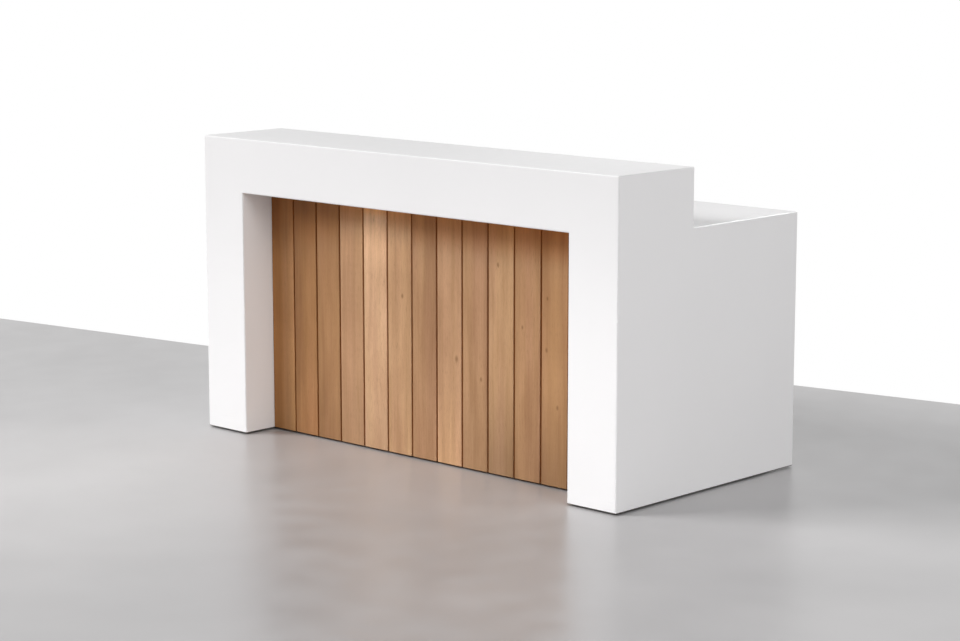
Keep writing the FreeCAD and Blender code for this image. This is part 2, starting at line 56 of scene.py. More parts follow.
# Light of the room: an even white surround, a tall window in front to the left and its pool on the floor,
# a fill at the right, a lamp behind for the staff side, narrow ones low in front, and one over the right end.
# The glint, high behind, shows only as gloss on the counter: a fine line along the worktop's arris.
SURROUND_LIGHT = 0.15
SEEN_LIGHT = 1.0
WIDE = math.radians(180.0)
LAMP_FIELDS = ("place", "aim", "size", "power", "beam")
LAMPS = {
    "window": ((-22.7, -20.3, 18.2), (0.0, -0.3, 0.6), (16.0, 14.0), 12300.0, WIDE),
    "pool": ((-0.75, -1.6, 4.0), (-0.75, -1.55, 0.0), (1.0, 1.0), 2.6, math.radians(36.0)),
    "fill": ((9.5, -3.0, 4.0), (0.2, -0.25, 0.6), (4.0, 5.0), 430.0, WIDE),
    "rear": ((0.5, 9.0, 0.9), (0.0, 0.45, 0.5), (6.0, 1.4), 470.0, WIDE),
    "low": ((0.9, -8.6, 0.7), (0.5, -0.48, 0.12), (4.4, 0.4), 2.4, math.radians(15.0)),
    "leg": ((1.7, -8.6, 0.9), (0.92, -0.48, 0.5), (1.0, 0.5), 0.14, math.radians(8.0)),
    "overhead": ((0.85, 0.0, 4.2), (0.85, 0.0, 1.0), (1.0, 1.0), 0.6, math.radians(36.0)),
    "glint": ((0.73, 7.3, 6.2), (1.0, 0.25, 0.9), (0.2, 0.2), 0.56, math.radians(6.0)),
}
GLOSS_LAMP = "glint"

# The floor ends behind the counter, nearer on its left than on its right.
FLOOR_CORNERS = ((-9.0, -0.42), (-2.0, 0.67), (0.0, 1.65), (9.0, 3.31), (9.0, -14.0), (-9.0, -14.0))
FLOOR_COLOUR = (0.47, 0.459, 0.462)
FLOOR_ROUGHNESS = (0.285, 0.34)

# Ranges that the finishes share: where most of a noise texture's values lie, how far a face's normal has to
# lean one way, or downwards, to count as facing that way, and a plain rise or fall from end to end
NOISE_SPAN = (0.3, 0.7)
FACING_SPAN = (0.6, 0.9)
UNDER_SPAN = (-0.9, -0.6)
RISE = (0.0, 1.0)
FALL = (1.0, 0.0)
PLAIN = (1.0, 1.0, 1.0)

# White lacquer, its scuffs low down, and painted shade on its undersides and in a band along the foot of the
# shell, for the dark gap under it
LACQUER_WHITE = (0.885, 0.877, 0.881)
LACQUER_ROUGHNESS = (0.34, 0.46)
SCUFF_GREY = (0.42, 0.41, 0.40)
SCUFF_HEIGHTS = (0.015, 0.11)
SCUFF_SPAN = (0.60, 0.74)
SCUFF_SHARE = 0.10
PAINTED_GAP_SHADE = (0.045, 0.038, 0.032)
SHELL_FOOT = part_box("front_fascia")[0].z
SHELL_FOOT_SHADE_HEIGHT = 2.5 * MM
SHELL_FOOT_SHADE_SPAN = (0.8 * SHELL_FOOT_SHADE_HEIGHT, SHELL_FOOT_SHADE_HEIGHT)

# Melamine-faced board and its edge bands
MELAMINE_WHITE = (0.80, 0.80, 0.79)
MELAMINE_ROUGHNESS = (0.52, 0.42)
EDGE_BAND_WHITE = (0.84, 0.84, 0.835)
EDGE_BAND_POLISH = 0.12
GLUE_BROWN = (0.42, 0.38, 0.32)
GLUE_SPAN = (0.1 * MM, 0.3 * MM)
GLUE_SHARE = 0.45

# Plywood and softwood; the grain runs along the axes with a small stretch.
BIRCH_LIGHT = (0.74, 0.58, 0.38)
BIRCH_DARK = (0.56, 0.40, 0.24)
BIRCH_GRAIN = (3.0, 3.0, 22.0)
DECK_GRAIN = (2.5, 22.0, 22.0)
PLY_DARK = (0.38, 0.23, 0.11)
PLY_SPAN = (0.4, 0.6)
PLY_SHARE = 0.7
PINE_LIGHT = (0.78, 0.60, 0.36)
PINE_DARK = (0.60, 0.38, 0.18)
PINE_GRAIN = (2.0, 60.0, 60.0)
FINE_GRAIN = 9.0
FINE_TINTS = ((0.3, (0.86, 0.84, 0.80)), (0.65, PLAIN))
FINE_SHARE = 0.7
WOOD_ROUGHNESS = (0.50, 0.64)

# Black laminate, zinc-plated steel and black nylon
LAMINATE_BLACK = (0.016, 0.016, 0.017)
LAMINATE_DUST = (0.045, 0.044, 0.043)
LAMINATE_ROUGHNESS = (0.42, 0.60)
ZINC_DARK = (0.52, 0.54, 0.57)
ZINC_LIGHT = (0.70, 0.71, 0.71)
ZINC_ROUGHNESS = (0.28, 0.46)
NYLON_BLACK = (0.018, 0.018, 0.019)
NYLON_WORN = (0.040, 0.040, 0.040)
NYLON_ROUGHNESS = (0.44, 0.58)

# Oiled oak from yellow to red wood, its pores, and painted shade on the sides of the open joints behind the
# boards' faces
OAK_YELLOW = (0.543, 0.325, 0.165)
OAK_RED = (0.523, 0.290, 0.168)
OAK_ROUGHNESS = (0.64, 0.52)
OAK_SEED = 700
OAK_SHIFT = 20
HUE_SWING = 0.45
HUE_SPAN = (0.38, 0.62)
RED_SHADE = 0.98
GRAIN_BEND = 0.045
PORE_BROWN = (0.20, 0.105, 0.05)
PORE_SPAN = (0.60, 0.70)
PORE_SHARE = 0.5
BOARD_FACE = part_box("oak_board_01")[0].y
GROOVE_SHADE_BROWN = (0.30, 0.10, 0.014)
GROOVE_SHADE_SPAN = (2.0 * MM, 5.0 * MM)
GROOVE_SHADE_SHARE = 0.85

# Layers of the oak's grain: tints from their dark to their light parts, how strongly each layer shows, and
# how far the lines stand out beside the fibres
STRIPE_TINTS = ((0.30, (0.80, 0.77, 0.73)), (0.52, PLAIN), (0.75, (1.09, 1.10, 1.11)))
STRIPE_SHARE = 0.9
LINE_TINTS = ((0.32, (0.84, 0.80, 0.76)), (0.58, PLAIN))
LINE_SHARE = 0.42
FIBRE_TINTS = ((0.30, (0.85, 0.82, 0.78)), (0.65, (1.04, 1.04, 1.04)))
FIBRE_SHARE = 0.32
LINE_RELIEF = 0.6
FIGURE_TINTS = ((0.32, (0.90, 0.875, 0.85)), (0.66, (1.05, 1.055, 1.06)))
FIGURE_SHARE = 0.9

# Drawers, their walls and the plies of those walls
DRAWERS = ("lower_drawer", "middle_drawer", "upper_drawer")
DRAWER_WALL = 12.0 * MM
PLY_THICKNESS = DRAWER_WALL / 9

# Front edges of the carcass panels and their edge bands
CARCASS_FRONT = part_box("left_gable")[1].y
EDGE_BAND = 1.0 * MM

# Screw heads: the rim's profile, the arms of the cross recess and the recess's floor, as shares of the head's
# radius and height
DISC_SIDES = 24
SCREW_SINK = 0.1 * MM
SCREW_RIM = ((1.0, 0.4), (0.92, 0.8), (0.74, 1.0))
CROSS_ARM = 0.5
CROSS_FLOOR = (0.7, 0.35)
SHARP_ANGLE = math.radians(35.0)

# Screws and washers of the hinges, the drawer fronts and the runners
HINGE_LEAF = 1.4 * MM
HINGE_INSET = 90.0 * MM
HINGE_SCREW_INSET = 10.5 * MM
HINGE_SCREW_STEP = 20.0 * MM
HINGE_SCREW_RADIUS = 3.2 * MM
HINGE_SCREW_PROUD = 0.15 * MM
WASHER_PROFILE = ((6.0 * MM, -SCREW_SINK), (6.0 * MM, 0.6 * MM), (5.7 * MM, 0.9 * MM))
PAN_RADIUS = 4.0 * MM
PAN_HEIGHT = 2.4 * MM
FRONT_SCREW_INSET = 90.0 * MM
FRONT_SCREW_HEIGHTS = (0.36, 0.78)
RUNNER_WALL = 1.4 * MM
RUNNER_SCREW_RADIUS = 3.4 * MM
RUNNER_SCREW_HEIGHT = 1.6 * MM
RUNNER_SCREW_PLACES = (0.1, 0.5, 0.9)

# Magnetic catch of the cupboard doors
CATCH_WIDTH = 84.0 * MM
CATCH_DEPTH = 15.0 * MM
CATCH_HEIGHT = 20.0 * MM
CATCH_ROUND = 1.2 * MM
CATCH_EAR = 12.0 * MM
CATCH_EAR_THICKNESS = 3.0 * MM
CATCH_GAP = 0.4 * MM
POLE_PROUD = 0.6 * MM
POLE_WIDTH = 22.0 * MM
POLE_THICKNESS = 1.6 * MM
POLE_LEVELS = (7.0 * MM, 14.0 * MM)
STRIKE_WIDTH = 26.0 * MM
STRIKE_HEIGHT = 15.0 * MM
STRIKE_LEVEL = 4.5 * MM
STRIKE_THICKNESS = 1.0 * MM

# The boards' own tones, by their number from the left: lightness against the mean, lean from yellow (0) to
# red (1) wood, and lightness of the foot against the middle
BOARD_LIGHTNESS = (0.96, 0.66, 0.70, 0.95, 1.27, 1.03, 0.84, 1.03, 0.86, 0.98, 0.87, 0.85, 0.88)
BOARD_COUNT = len(BOARD_LIGHTNESS)
RED_BOARDS = (2, 3, 7, 9, 11)
RED_LEAN = 0.78
YELLOW_LEAN = 0.38
FOOT_TONES = {1.16: (2, 8), 1.0: (6, 7), 0.69: (10, 12, 13)}
USUAL_FOOT_TONE = 0.86

# Darker boards have a deeper colour: less blue and a little less green. Boards beside the legs carry painted
# shade in the same deeper colour.
MEAN_LIGHTNESS = 0.9
MEAN_DEPTH = -0.03
DEPTH_SLOPE = 0.8
DEPTH_TINT = (0.12, -0.10, -0.45)
LEG_SHADE_REACH = 3
LEFT_LEG_SHADE_DEPTH = 0.6
RIGHT_LEG_SHADE_DEPTH = 0.3

# Painted shade: the first board is deeper still in the corner beside the leg, over this span from its edge.
CORNER_SHADE_SPAN = (35.0 * MM, 75.0 * MM)
CORNER_SHADE_TINT = (0.78, 0.70, 0.54)

# Lightness of the boards' heads against their middle: painted shade beside the left leg, and a painted pool
# of light round one board. Close under the header all heads take painted shade and a warm painted tint of
# shade.
HEAD_TONE = 1.02
LEG_SHADE = 0.34
LIT_HEAD_BOARD = 5
LIT_HEAD_REACH = 2
PAINTED_LIGHT_TONE = 0.33
LEFT_HEAD_SHADE_TINT = (1.0, 0.80, 0.56)
RIGHT_HEAD_SHADE_TINT = (1.0, 0.64, 0.33)
HEAD_SHADE = 0.92

# Heights above the floor over which the boards take on the tone of their foot and the painted light and shade
# of their head, the painted shade under the header and its warm painted tint. The tint of a darker head
# starts lower.
FOOT_SPAN = (0.0, 0.40)
HEAD_SPAN = (0.62, 0.80)
SHADE_SPAN = (0.80, 0.88)
SHADE_TINT_SPAN = (0.73, 0.885)
SHADE_TINT_LEAN = 0.3

# Knots: their width over their length along the grain, how far (in radii) and how strongly the grain bends
# round them, where they fade out (in radii), and how strongly their brown shows
KNOT_ASPECT = 0.6
KNOT_REACH = 5.0
KNOT_SWIRL = -0.75
KNOT_FADE = (0.2, 1.6)
KNOT_BROWN = (0.16, 0.075, 0.03)
KNOT_SHARE = 0.6

# Knots by board: place across and up the counter, and radius, in metres
KNOTS = {
    6: ((-0.107, 0.579, 0.005),),
    8: ((0.157, 0.387, 0.007),),
    9: ((0.273, 0.330, 0.005),),
    10: ((0.352, 0.737, 0.005),),
    11: ((0.465, 0.535, 0.004),),
    12: ((0.624, 0.280, 0.005), (0.574, 0.470, 0.005), (0.577, 0.646, 0.004)),
}


class Finish:
    """A node material, with short calls for the nodes that the finishes share."""

    def __init__(self, name):
        self.material = bpy.data.materials.new(name)
        self.material.use_nodes = True
        self.tree = self.material.node_tree
        self.tree.nodes.clear()
        self.shader = self.node("ShaderNodeBsdfPrincipled", {})
        output = self.node("ShaderNodeOutputMaterial", {})
        self.tree.links.new(self.shader.outputs["BSDF"], output.inputs["Surface"])
        coordinates = self.node("ShaderNodeTexCoord", {})
        self.place = coordinates.outputs["Object"]
        self.facing = coordinates.outputs["Normal"]

    def node(self, kind, values, **settings):
        made = self.tree.nodes.new(kind)
        for key, value in settings.items():
            setattr(made, key, value)
        self.fill(made, values)
        return made

    def fill(self, node, values):
        for key, value in values.items():
            if isinstance(value, bpy.types.NodeSocket):
                self.tree.links.new(value, node.inputs[key])
            else:
                node.inputs[key].default_value = value

    def surface(self, **values):
        """Values of the shader's own sockets, with underscores for the spaces in their names."""
        self.fill(self.shader, {key.replace("_", " "): value for key, value in values.items()})

    def math(self, operation, first, second=0.0):
        return self.node("ShaderNodeMath", {0: first, 1: second}, operation=operation).outputs[0]

    def stretched(self, scale, shift=(0, 0, 0), vector=None):
        values = {0: vector or self.place, 1: scale, 2: shift}
        return self.node("ShaderNodeVectorMath", values, operation="MULTIPLY_ADD").outputs[0]

    def noise(self, scale, detail=2.0, rough=0.5, vector=None, distortion=0.0):
        values = {
            "Vector": vector or self.place, "Scale": scale, "Detail": detail,
            "Roughness": rough, "Distortion": distortion,
        }
        return self.node("ShaderNodeTexNoise", values).outputs["Fac"]

    def grain(self, stretch, shift=(0, 0, 0), vector=None, **settings):
        """Noise that is stretched by a factor for each axis."""
        return self.noise(1.0, vector=self.stretched(stretch, shift, vector), **settings)

    def spread(self, value, span, results):
        """The value's way over a span, drawn smoothly from the first result to the second."""
        values = {
            "Value": value, "From Min": span[0], "From Max": span[1],
            "To Min": results[0], "To Max": results[1],
        }
        made = self.node("ShaderNodeMapRange", values, interpolation_type="SMOOTHSTEP")
        return made.outputs["Result"]

    def ramp(self, value, stops):
        made = self.node("ShaderNodeValToRGB", {"Fac": value})
        elements = made.color_ramp.elements
        while len(elements) < len(stops):
            elements.new(0.5)
        for element, (position, colour) in zip(elements, stops):
            element.position = position
            element.color = (*colour, 1.0)
        return made.outputs["Color"]

    def mix(self, share, first, second, blend="MIX"):
        made = self.node("ShaderNodeMix", {0: share}, data_type="RGBA", blend_type=blend)
        for index, value in ((6, first), (7, second)):
            self.fill(made, {index: value if isinstance(value, bpy.types.NodeSocket) else (*value, 1.0)})
        return made.outputs[2]

    def relief(self, height, strength, depth):
        values = {"Height": height, "Strength": strength, "Distance": depth}
        return self.node("ShaderNodeBump", values).outputs["Normal"]

    def axes(self, vector=None):
        return self.node("ShaderNodeSeparateXYZ", {"Vector": vector or self.place}).outputs


def shade(colour, factor):
    return tuple(min(1.0, part * factor) for part in colour)


def between(first, second, share):
    return tuple(a + (b - a) * share for a, b in zip(first, second))


def shifted(span, start):
    return tuple(start + part for part in span)


def deepen(colour, depth):
    return tuple(part * (1.0 + depth * tint) for part, tint in zip(colour, DEPTH_TINT))


def lacquer_finish():
    """Sprayed satin lacquer: a faint orange peel, slow cloudiness, scuffs low down, and painted shade under
    it and along its foot.
    """
    finish = Finish("white_lacquer")
    cloud = finish.noise(2.3, detail=3.0, rough=0.55)
    peel = finish.noise(260.0, detail=2.0, rough=0.45)
    mist = finish.noise(38.0, detail=4.0, rough=0.6)
    smear = finish.grain((9.0, 9.0, 90.0), detail=4.0, rough=0.65)
    height = finish.axes()["Z"]
    low = finish.spread(height, SCUFF_HEIGHTS, FALL)
    scuff = finish.math("MULTIPLY", finish.spread(smear, SCUFF_SPAN, (0.0, SCUFF_SHARE)), low)
    body = finish.ramp(cloud, [(0.30, shade(LACQUER_WHITE, 0.985)), (0.70, LACQUER_WHITE)])
    colour = finish.mix(scuff, body, SCUFF_GREY)
    # Painted shade: low faces that turn downwards, and a band a few millimetres tall along the shell's foot,
    # are drawn near black.
    under = finish.spread(finish.axes(finish.facing)["Z"], UNDER_SPAN, FALL)
    shell_foot_shade = finish.spread(height, shifted(SHELL_FOOT_SHADE_SPAN, SHELL_FOOT), FALL)
    painted_shade = finish.math("MAXIMUM", finish.math("MULTIPLY", under, low), shell_foot_shade)
    finish.surface(
        Base_Color=finish.mix(painted_shade, colour, PAINTED_GAP_SHADE), Specular_IOR_Level=0.45,
        Roughness=finish.math("ADD", finish.spread(mist, NOISE_SPAN, LACQUER_ROUGHNESS), scuff),
        Normal=finish.relief(peel, strength=0.07, depth=0.4 * MM),
    )
    return finish.material


def board_tones(index):
    """A board's lightness, lean to red wood and depth of colour with painted shade beside the legs, and the
    tones of its head, with painted light and shade, and of its foot.
    """
    lightness = BOARD_LIGHTNESS[index - 1]
    lean = RED_LEAN if index in RED_BOARDS else YELLOW_LEAN
    # Painted shade: boards within reach of the legs get a deeper colour, and beside the left leg a darker
    # head as well.
    left_leg_shade = max(0.0, 1.0 - (index - 1) / LEG_SHADE_REACH)
    right_leg_shade = max(0.0, 1.0 - (BOARD_COUNT - index) / LEG_SHADE_REACH)
    depth = MEAN_DEPTH - DEPTH_SLOPE * (lightness - MEAN_LIGHTNESS)
    depth += LEFT_LEG_SHADE_DEPTH * left_leg_shade + RIGHT_LEG_SHADE_DEPTH * right_leg_shade
    # Painted light: the heads are lighter in a pool around one board.
    off_lit_head = min(1.0, abs(index - LIT_HEAD_BOARD) / LIT_HEAD_REACH)
    lit_head = 0.5 + 0.5 * math.cos(math.pi * off_lit_head)
    head = HEAD_TONE - LEG_SHADE * left_leg_shade + PAINTED_LIGHT_TONE * lit_head
    foot = next((tone for tone, boards in FOOT_TONES.items() if index in boards), USUAL_FOOT_TONE)
    return lightness, lean, depth, head, foot


def knot_marks(finish, index, axes, bend):
    """The bend of a board's grain with that round its knots, and where the knots are dark, if it has any."""
    dark = None
    for knot_x, knot_z, radius in KNOTS.get(index, ()):
        aside = finish.math("SUBTRACT", axes["X"], knot_x)
        along = finish.math("MULTIPLY", finish.math("SUBTRACT", axes["Z"], knot_z), KNOT_ASPECT)
        square = finish.math(
            "ADD", finish.math("MULTIPLY", aside, aside), finish.math("MULTIPLY", along, along)
        )
        reach = finish.math("SQRT", square)
        swirl = finish.spread(reach, (0.0, KNOT_REACH * radius), (KNOT_SWIRL, 0.0))
        bend = finish.math("ADD", bend, finish.math("MULTIPLY", aside, swirl))
        spot = finish.spread(reach, tuple(part * radius for part in KNOT_FADE), FALL)
        dark = spot if dark is None else finish.math("MAXIMUM", dark, spot)
    return bend, dark


def board_shading(finish, index, axes, colour, head, foot):
    """A board's colour with the tones of its foot and head, painted shade and its warm tint close under the
    header, and painted shade in the corner beside the leg.
    """
    tone = finish.math(
        "MULTIPLY",
        finish.spread(axes["Z"], HEAD_SPAN, (1.0, head)), finish.spread(axes["Z"], FOOT_SPAN, (foot, 1.0)),
    )
    # Painted shade: the heads darken and turn warmer close under the header.
    tone = finish.math("MULTIPLY", tone, finish.spread(axes["Z"], SHADE_SPAN, (1.0, HEAD_SHADE)))
    colour = finish.mix(1.0, colour, tone, "MULTIPLY")
    tint_start, tint_end = SHADE_TINT_SPAN
    shade_tinted = finish.spread(axes["Z"], (tint_start + SHADE_TINT_LEAN * (head - 1.0), tint_end), RISE)
    head_shade_tint = between(LEFT_HEAD_SHADE_TINT, RIGHT_HEAD_SHADE_TINT, (index - 1) / (BOARD_COUNT - 1))
    colour = finish.mix(shade_tinted, colour, head_shade_tint, "MULTIPLY")
    # Painted shade in the corner beside the left leg, on the first board only.
    if index == 1:
        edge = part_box("oak_board_01")[0].x
        corner = finish.spread(axes["X"], shifted(CORNER_SHADE_SPAN, edge), FALL)
        colour = finish.mix(corner, colour, CORNER_SHADE_TINT, "MULTIPLY")
    return colour


def oak_finish(index):
    """Oiled oak, straight in the grain: broad soft stripes, fine fibres, pores, a small knot or two, and
    painted shade in the open joints.
    """
    lightness, lean, depth, head, foot = board_tones(index)
    finish = Finish(f"oak_{index:02d}")
    draw = random.Random(OAK_SEED + index)
    shift = tuple(draw.uniform(-OAK_SHIFT, OAK_SHIFT) for _ in range(3))
    axes = finish.axes()
    slow = finish.grain((7.0, 7.0, 1.3), shift)
    bend = finish.math("MULTIPLY", finish.math("SUBTRACT", slow, 0.5), GRAIN_BEND)
    bend, dark = knot_marks(finish, index, axes, bend)
    warped = finish.node(
        "ShaderNodeCombineXYZ",
        {"X": finish.math("ADD", axes["X"], bend), "Y": axes["Y"], "Z": axes["Z"]},
    ).outputs["Vector"]
    stripe = finish.grain((26.0, 26.0, 0.9), shift, warped, detail=3.0, rough=0.55)
    line = finish.grain((120.0, 120.0, 2.4), shift, warped, detail=4.0, rough=0.6)
    fibre = finish.grain((750.0, 750.0, 9.0), shift, warped, detail=3.0, rough=0.6)
    pore = finish.grain((1500.0, 1500.0, 36.0), shift, warped, detail=1.0)
    figure = finish.grain((17.0, 17.0, 4.2), shift[1:] + shift[:1], warped)
    hue = finish.grain((11.0, 11.0, 0.8), shift[2:] + shift[:2])
    base = between(OAK_YELLOW, OAK_RED, lean)
    yellow = deepen(shade(between(base, OAK_YELLOW, HUE_SWING), lightness), depth)
    reddish = deepen(shade(between(base, OAK_RED, HUE_SWING), lightness * RED_SHADE), depth)
    colour = finish.mix(finish.spread(hue, HUE_SPAN, RISE), yellow, reddish)
    layers = (
        (stripe, STRIPE_TINTS, STRIPE_SHARE), (line, LINE_TINTS, LINE_SHARE),
        (fibre, FIBRE_TINTS, FIBRE_SHARE), (figure, FIGURE_TINTS, FIGURE_SHARE),
    )
    for layer, tints, share in layers:
        colour = finish.mix(share, colour, finish.ramp(layer, tints), "MULTIPLY")
    colour = board_shading(finish, index, axes, colour, head, foot)
    hollow = finish.spread(pore, PORE_SPAN, (0.0, PORE_SHARE))
    colour = finish.mix(hollow, colour, PORE_BROWN)
    if dark is not None:
        colour = finish.mix(finish.math("MULTIPLY", dark, KNOT_SHARE), colour, KNOT_BROWN)
    # Painted shade: the sides of the open joints, just behind the boards' faces, are drawn dark brown.
    groove_shade = finish.spread(axes["Y"], shifted(GROOVE_SHADE_SPAN, BOARD_FACE), (0.0, GROOVE_SHADE_SHARE))
    raised = finish.math("ADD", finish.math("MULTIPLY", line, LINE_RELIEF), fibre)
    finish.surface(
        Base_Color=finish.mix(groove_shade, colour, GROOVE_SHADE_BROWN), Specular_IOR_Level=0.2,
        Roughness=finish.spread(fibre, NOISE_SPAN, OAK_ROUGHNESS),
        Normal=finish.relief(finish.math("SUBTRACT", raised, hollow), strength=0.30, depth=0.35 * MM),
    )
    return finish.material


def melamine_finish():
    """Melamine-faced board: a fine pearl texture, and a smoother edge band with its glue line in front."""
    finish = Finish("white_melamine")
    pearl = finish.noise(900.0, detail=2.0, rough=0.5)
    cloud = finish.noise(4.0, detail=3.0, rough=0.6)
    band = finish.spread(finish.axes(finish.facing)["Y"], FACING_SPAN, RISE)
    off_line = finish.math("SUBTRACT", finish.axes()["Y"], CARCASS_FRONT - EDGE_BAND)
    glue = finish.spread(finish.math("ABSOLUTE", off_line), GLUE_SPAN, (GLUE_SHARE, 0.0))
    face = finish.ramp(cloud, [(0.3, shade(MELAMINE_WHITE, 0.96)), (0.7, MELAMINE_WHITE)])
    colour = finish.mix(band, face, EDGE_BAND_WHITE)
    rough = finish.spread(cloud, NOISE_SPAN, MELAMINE_ROUGHNESS)
    finish.surface(
        Base_Color=finish.mix(glue, colour, GLUE_BROWN), Specular_IOR_Level=0.4,
        Roughness=finish.math("SUBTRACT", rough, finish.math("MULTIPLY", band, EDGE_BAND_POLISH)),
        Normal=finish.relief(pearl, strength=0.10, depth=0.15 * MM),
    )
    return finish.material


def wood_finish(name, light, dark, stretch, drawer=None):
    """Pale wood with a wavy grain, for plywood and sawn softwood. A drawer box shows plies on its rims."""
    finish = Finish(name)
    slow = finish.noise(5.0, detail=2.0, rough=0.5)
    broad = finish.grain(stretch, detail=4.0, rough=0.6, distortion=0.8)
    fine = finish.grain(tuple(part * FINE_GRAIN for part in stretch), detail=3.0, rough=0.6)
    colour = finish.ramp(broad, [(0.32, dark), (0.50, between(dark, light, 0.7)), (0.72, light)])
    colour = finish.mix(FINE_SHARE, colour, finish.ramp(fine, FINE_TINTS), "MULTIPLY")
    if drawer:
        colour = finish.mix(ply_share(finish, drawer), colour, PLY_DARK)
    finish.surface(
        Base_Color=colour, Roughness=finish.spread(slow, NOISE_SPAN, WOOD_ROUGHNESS), Specular_IOR_Level=0.35,
        Normal=finish.relief(fine, strength=0.25, depth=0.3 * MM),
    )
    return finish.material


def ply_share(finish, node):
    """Where the dark cross plies of a drawer box show on the rims of its walls."""
    low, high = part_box(node)
    axes = finish.axes()
    inward = []
    for axis, start, end in (("X", low.x, high.x), ("Y", low.y, high.y)):
        off_middle = finish.math("ABSOLUTE", finish.math("SUBTRACT", axes[axis], 0.5 * (start + end)))
        inward.append(finish.math("SUBTRACT", 0.5 * (end - start), off_middle))
    in_side = finish.math("LESS_THAN", inward[0], DRAWER_WALL)
    depth = finish.math(
        "ADD", finish.math("MULTIPLY", in_side, inward[0]),
        finish.math("MULTIPLY", finish.math("SUBTRACT", 1.0, in_side), inward[1]),
    )
    layer = finish.math("PINGPONG", finish.math("DIVIDE", depth, PLY_THICKNESS), 1.0)
    rim = finish.spread(finish.axes(finish.facing)["Z"], FACING_SPAN, RISE)
    return finish.math("MULTIPLY", finish.spread(layer, PLY_SPAN, (0.0, PLY_SHARE)), rim)


def laminate_finish():
    """Black high-pressure laminate with a fine matt grain and a little dust."""
    finish = Finish("black_laminate")
    grain = finish.noise(700.0, detail=3.0, rough=0.6)
    dust = finish.noise(14.0, detail=5.0, rough=0.65)
    finish.surface(
        Base_Color=finish.ramp(dust, [(0.35, LAMINATE_BLACK), (0.75, LAMINATE_DUST)]),
        Roughness=finish.spread(dust, NOISE_SPAN, LAMINATE_ROUGHNESS), Specular_IOR_Level=0.4,
        Normal=finish.relief(grain, strength=0.18, depth=0.2 * MM),
    )
    return finish.material


def steel_finish():
    """Zinc-plated steel: a rolled sheen along its length and a slight spangle of passivation."""
    finish = Finish("zinc_steel")
    rolled = finish.grain((900.0, 18.0, 900.0), detail=3.0, rough=0.6)
    spangle = finish.noise(85.0, detail=4.0, rough=0.6)
    finish.surface(
        Base_Color=finish.ramp(spangle, [(0.30, ZINC_DARK), (0.72, ZINC_LIGHT)]),
        Metallic=1.0, Roughness=finish.spread(rolled, NOISE_SPAN, ZINC_ROUGHNESS),
        Normal=finish.relief(rolled, strength=0.08, depth=0.1 * MM),
    )
    return finish.material


def plastic_finish():
    """Black moulded nylon with a spark-eroded texture."""
    finish = Finish("black_plastic")
    spark = finish.noise(1300.0, detail=2.0, rough=0.5)
    wear = finish.noise(60.0, detail=4.0, rough=0.6)
    finish.surface(
        Base_Color=finish.ramp(wear, [(0.35, NYLON_BLACK), (0.75, NYLON_WORN)]),
        Roughness=finish.spread(wear, NOISE_SPAN, NYLON_ROUGHNESS), Specular_IOR_Level=0.45,
        Normal=finish.relief(spark, strength=0.25, depth=0.1 * MM),
    )
    return finish.material


def floor_finish():
    """Pale polished screed, nearly plain, with a soft sheen."""
    finish = Finish("pale_floor")
    cloud = finish.noise(1.7, detail=2.0, rough=0.5)
    patch = finish.noise(7.0, detail=1.0, rough=0.4)
    colour = finish.ramp(cloud, [(0.30, shade(FLOOR_COLOUR, 0.93)), (0.70, shade(FLOOR_COLOUR, 1.05))])
    trowel = finish.ramp(patch, [(0.25, shade(PLAIN, 0.95)), (0.75, PLAIN)])
    finish.surface(
        Base_Color=finish.mix(1.0, colour, trowel, "MULTIPLY"),
        Roughness=finish.spread(patch, NOISE_SPAN, FLOOR_ROUGHNESS), Specular_IOR_Level=0.5, IOR=1.9,
    )
    return finish.material


def paint(names, material):
    for name in names:
        for slot in frame["nodes"][name].material_slots:
            slot.material = material


def nodes_of_slot(slot):
    """The names of the CAD nodes that carry one of the record's material slots."""
    return [row["node"] for row in frame["record"]["subparts"] if row["material_slot"] == slot]


def dress_nodes():
    finishes = {
        "white_lacquer": lacquer_finish(),
        "white_melamine": melamine_finish(),
        "birch_plywood": wood_finish("birch_plywood", BIRCH_LIGHT, BIRCH_DARK, BIRCH_GRAIN),
        "softwood": wood_finish("softwood", PINE_LIGHT, PINE_DARK, PINE_GRAIN),
        "black_laminate": laminate_finish(),
        "zinc_steel": steel_finish(),
        "black_plastic": plastic_finish(),
    }
    for slot, material in finishes.items():
        paint(nodes_of_slot(slot), material)
    paint(["worktop_deck"], wood_finish("deck_plywood", BIRCH_LIGHT, BIRCH_DARK, DECK_GRAIN))
    for drawer in DRAWERS:
        node = f"{drawer}_box"
        paint([node], wood_finish(f"{node}_plywood", BIRCH_LIGHT, BIRCH_DARK, BIRCH_GRAIN, node))
    for index in range(1, BOARD_COUNT + 1):
        paint([f"oak_board_{index:02d}"], oak_finish(index))
    return finishes


def add_disc(bm, centre, facing, profile, capped=True):
    """A turned disc on a surface: rings of radius and height, closed below, and above if it is capped."""
    side = facing.orthogonal().normalized()
    other = facing.cross(side)
    rings = []
    for radius, height in profile:
        angles = [math.tau * step / DISC_SIDES for step in range(DISC_SIDES)]
        points = [side * math.cos(angle) * radius + other * math.sin(angle) * radius for angle in angles]
        rings.append([bm.verts.new(centre + point + facing * height) for point in points])
    for lower, upper in zip(rings, rings[1:]):
        for step in range(DISC_SIDES):
            after = (step + 1) % DISC_SIDES
            bm.faces.new((lower[step], lower[after], upper[after], upper[step]))
    bm.faces.new(reversed(rings[0]))
    if capped:
        bm.faces.new(rings[-1])
    return side, other, rings[-1]


